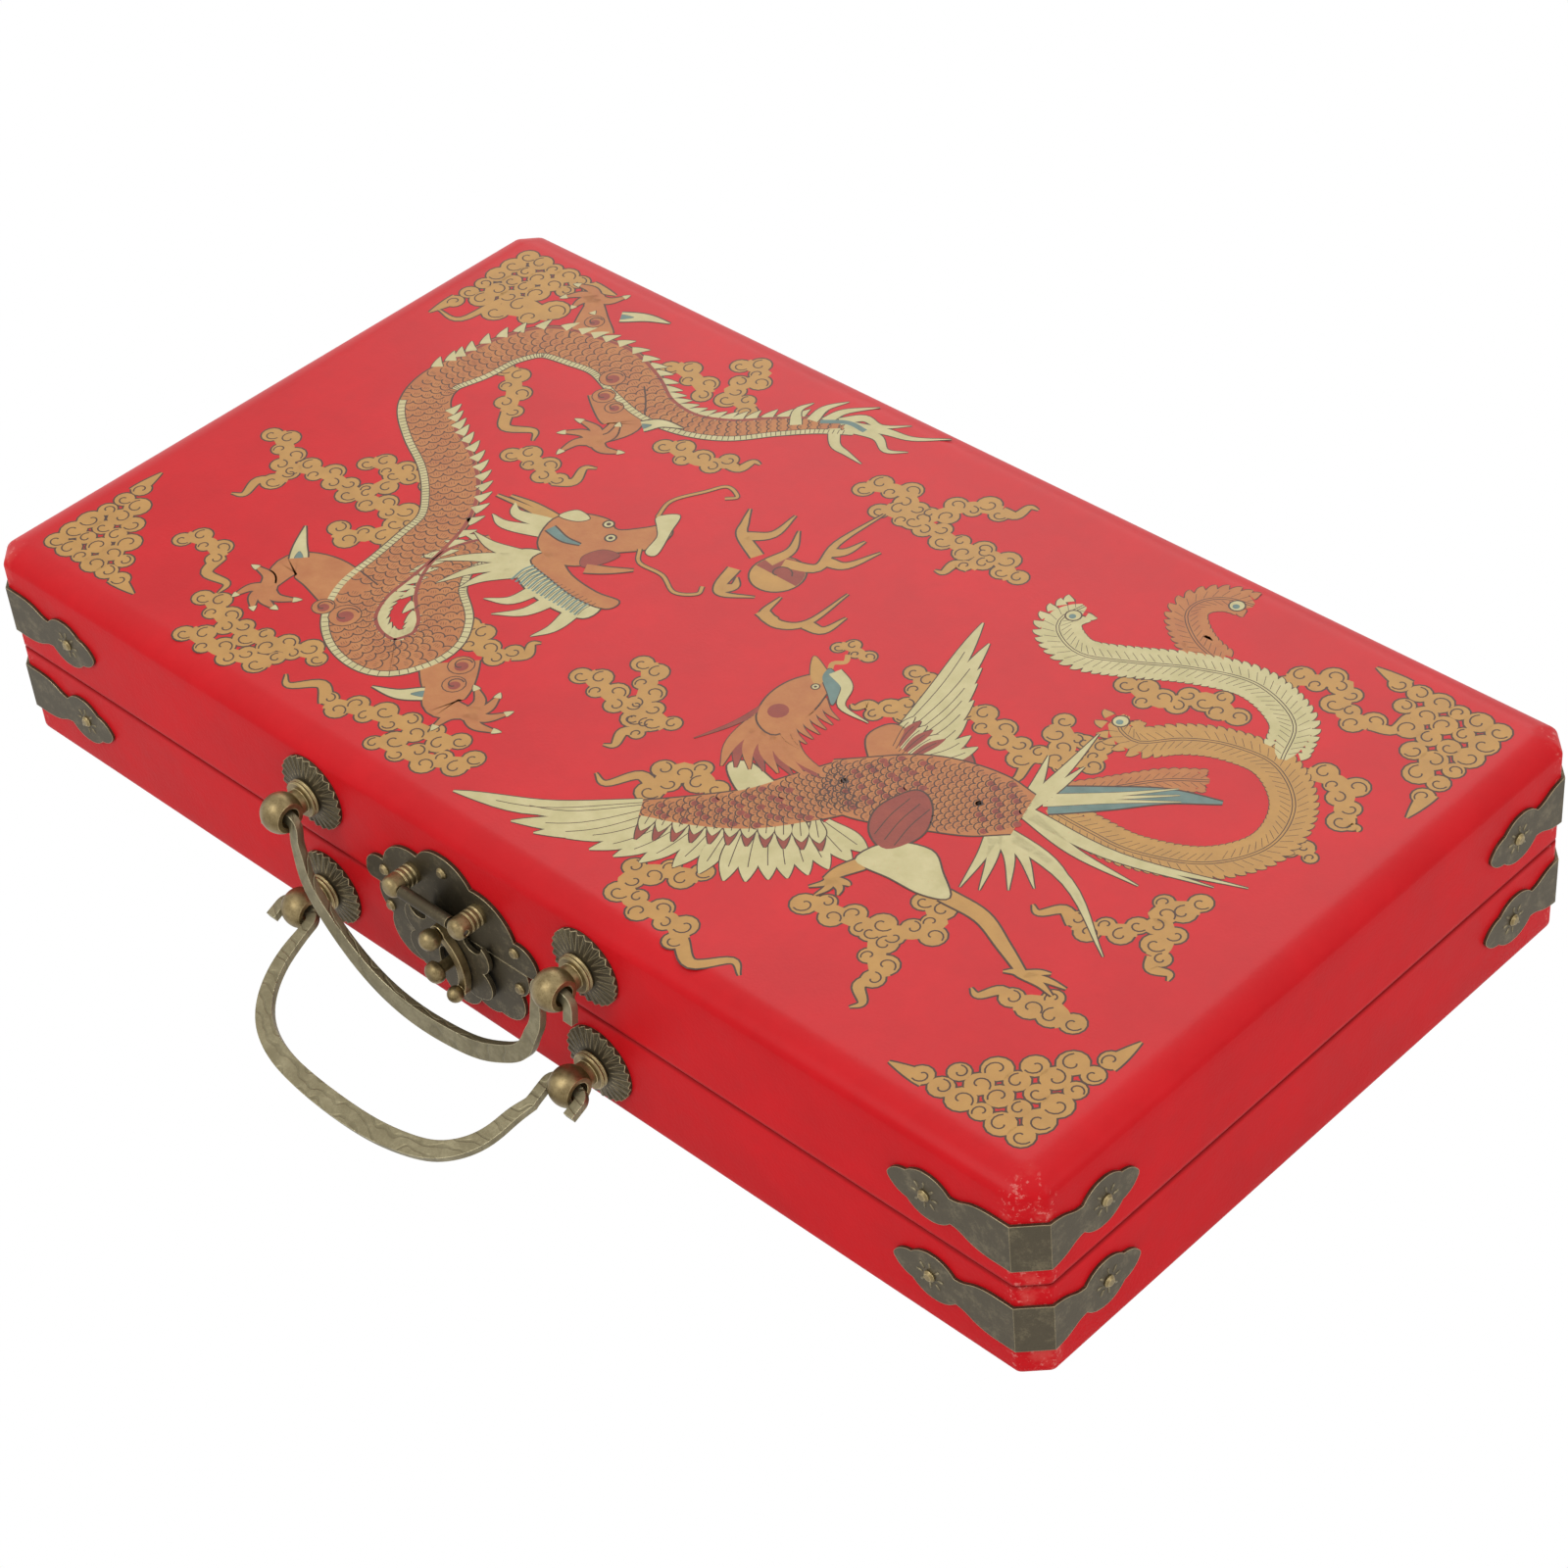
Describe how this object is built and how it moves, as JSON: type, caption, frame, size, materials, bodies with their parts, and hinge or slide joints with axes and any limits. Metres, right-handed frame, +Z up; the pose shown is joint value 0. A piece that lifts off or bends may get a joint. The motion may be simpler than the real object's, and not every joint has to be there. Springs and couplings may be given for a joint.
{
  "type": "mahjong case with drawers",
  "caption": "Shallow hinged clamshell case for game tiles with lift-out drawers inside, a bail handle on each half, a hasp latch between them and metal corner brackets.",
  "frame": {"origin": "centre of the base's underside, which stands on the table", "axes": "+X along the case's long side to the right seen from the handles, -Y towards the handles and latch, +Z up through the lid"},
  "size_m": [0.3534, 0.2385, 0.0605],
  "materials": {
    "red_leather": "grained leathercloth, slightly glossy",
    "box_wood": "plain softwood and ply",
    "red_cloth": "matt flannel",
    "antique_brass": "aged, rubbed bright on the edges",
    "bright_brass": "worn, satin",
    "dark_brass": "dark patina",
    "pin_steel": "plain wire"
  },
  "bodies": {
    "base": {"base_back_left_bracket": "dark_brass", "base_back_rail": "box_wood", "base_back_right_bracket": "dark_brass", "base_bracket_nails": "bright_brass", "base_cover_leather": "red_leather", "base_dividers": "box_wood", "base_front_left_bracket": "dark_brass", "base_front_rail": "box_wood", "base_front_right_bracket": "dark_brass", "base_hinge_nails": "bright_brass", "base_left_drawer": "box_wood", "base_left_handle_post": "bright_brass", "base_left_hinge_leaf": "antique_brass", "base_left_rail": "box_wood", "base_lining": "red_cloth", "base_panel": "box_wood", "base_right_drawer": "box_wood", "base_right_handle_post": "bright_brass", "base_right_hinge_leaf": "antique_brass", "base_right_rail": "box_wood", "base_rosettes": "antique_brass", "base_wall_leather": "red_leather", "hinge_pins": "pin_steel", "lower_latch_plate": "antique_brass", "lower_latch_nails": "bright_brass", "latch_knob": "bright_brass"},
    "lid": {"lid_back_left_bracket": "dark_brass", "lid_back_rail": "box_wood", "lid_back_right_bracket": "dark_brass", "lid_bracket_nails": "bright_brass", "lid_cover_leather": "red_leather", "lid_dividers": "box_wood", "lid_front_left_bracket": "dark_brass", "lid_front_rail": "box_wood", "lid_front_right_bracket": "dark_brass", "lid_hinge_nails": "bright_brass", "lid_left_drawer": "box_wood", "lid_left_handle_post": "bright_brass", "lid_left_hinge_leaf": "antique_brass", "lid_left_rail": "box_wood", "lid_lining": "red_cloth", "lid_panel": "box_wood", "lid_right_drawer": "box_wood", "lid_right_handle_post": "bright_brass", "lid_right_hinge_leaf": "antique_brass", "lid_right_rail": "box_wood", "lid_rosettes": "antique_brass", "lid_wall_leather": "red_leather", "upper_latch_plate": "antique_brass", "upper_latch_nails": "bright_brass", "latch_barrels": "bright_brass", "hasp_pin": "pin_steel"},
    "upper_handle": {"upper_handle": "antique_brass"},
    "lower_handle": {"lower_handle": "antique_brass"},
    "hasp": {"hasp": "antique_brass", "lever_rivet": "bright_brass"},
    "latch_lever": {"latch_lever": "bright_brass"}
  },
  "joints": [
    {"name": "lid_hinge", "type": "hinge", "parent": "base", "child": "lid", "pos_m": [0, 0.09745, 0.03025], "axis": [-1, 0, 0], "range_deg": [0, 180]},
    {"name": "upper_handle_swing", "type": "hinge", "parent": "lid", "child": "upper_handle", "pos_m": [-0.0032, -0.1046, 0.04605], "axis": [-1, 0, 0], "range_deg": [-5, 195]},
    {"name": "lower_handle_swing", "type": "hinge", "parent": "base", "child": "lower_handle", "pos_m": [-0.0032, -0.1046, 0.01565], "axis": [-1, 0, 0], "range_deg": [-66.5, 72]},
    {"name": "hasp_hinge", "type": "hinge", "parent": "lid", "child": "hasp", "pos_m": [-0.0032, -0.1017, 0.04135], "axis": [-1, 0, 0], "range_deg": [0, 150]},
    {"name": "lever_pivot", "type": "hinge", "parent": "hasp", "child": "latch_lever", "pos_m": [-0.0032, -0.0985, 0.03135], "axis": [0, -1, 0], "range_deg": [-18, 20]}
  ]
}
